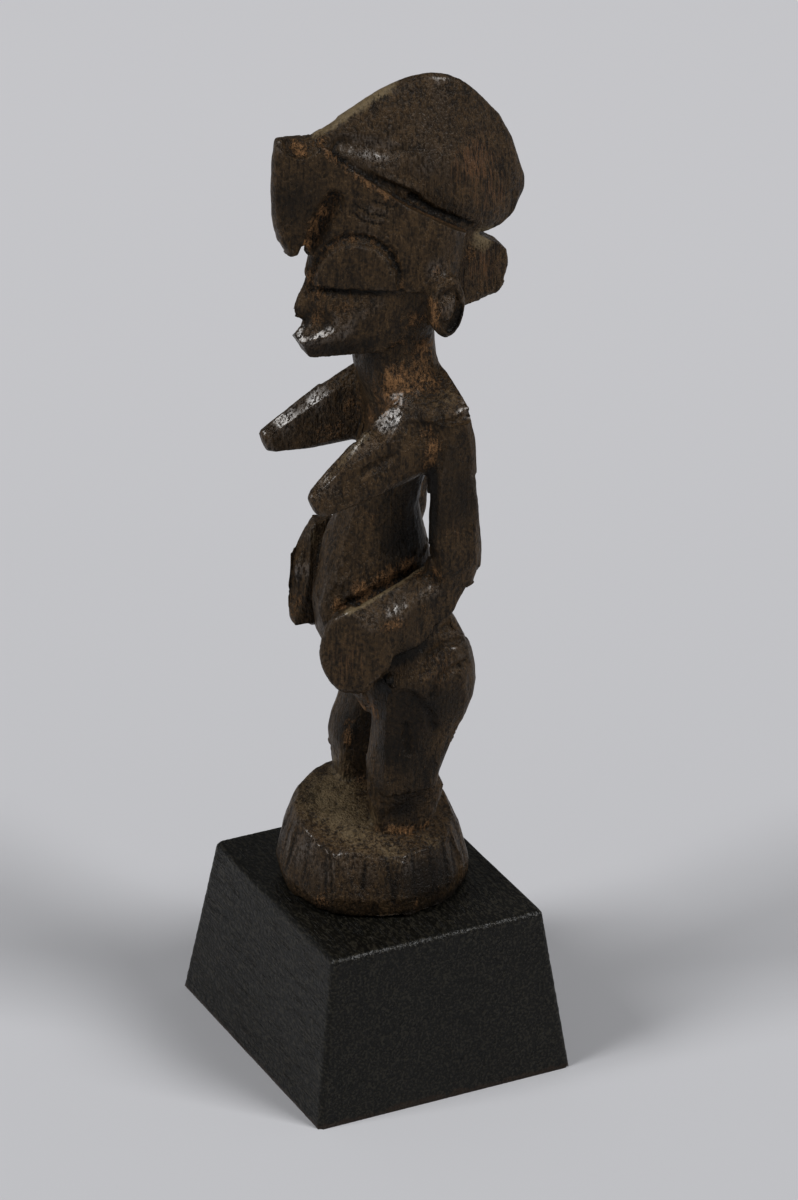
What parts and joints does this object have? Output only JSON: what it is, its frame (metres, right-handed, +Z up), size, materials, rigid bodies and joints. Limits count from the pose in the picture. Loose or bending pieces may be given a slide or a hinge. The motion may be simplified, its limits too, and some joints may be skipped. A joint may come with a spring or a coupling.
{
  "type": "carved standing female spirit figure on a plinth",
  "caption": "Dark carved-wood standing female figure with a comb-like crest and a round base, on a black truncated-pyramid plinth.",
  "frame": {"origin": "centre of the plinth's underside", "axes": "+Z up, the plinth's sides along X and Y; the figure faces -Y and its left side is at +X"},
  "size_m": [0.065, 0.059, 0.2151],
  "materials": {
    "carved_wood": "very dark brown wood with an oily, worn patina, vertical grain and ochre dust in its recesses",
    "ebonised_wood": "black stained open-grain wood, satin, with lightly worn edges"
  },
  "bodies": {
    "root": {"figure": "carved_wood", "plinth": "ebonised_wood"}
  },
  "joints": []
}
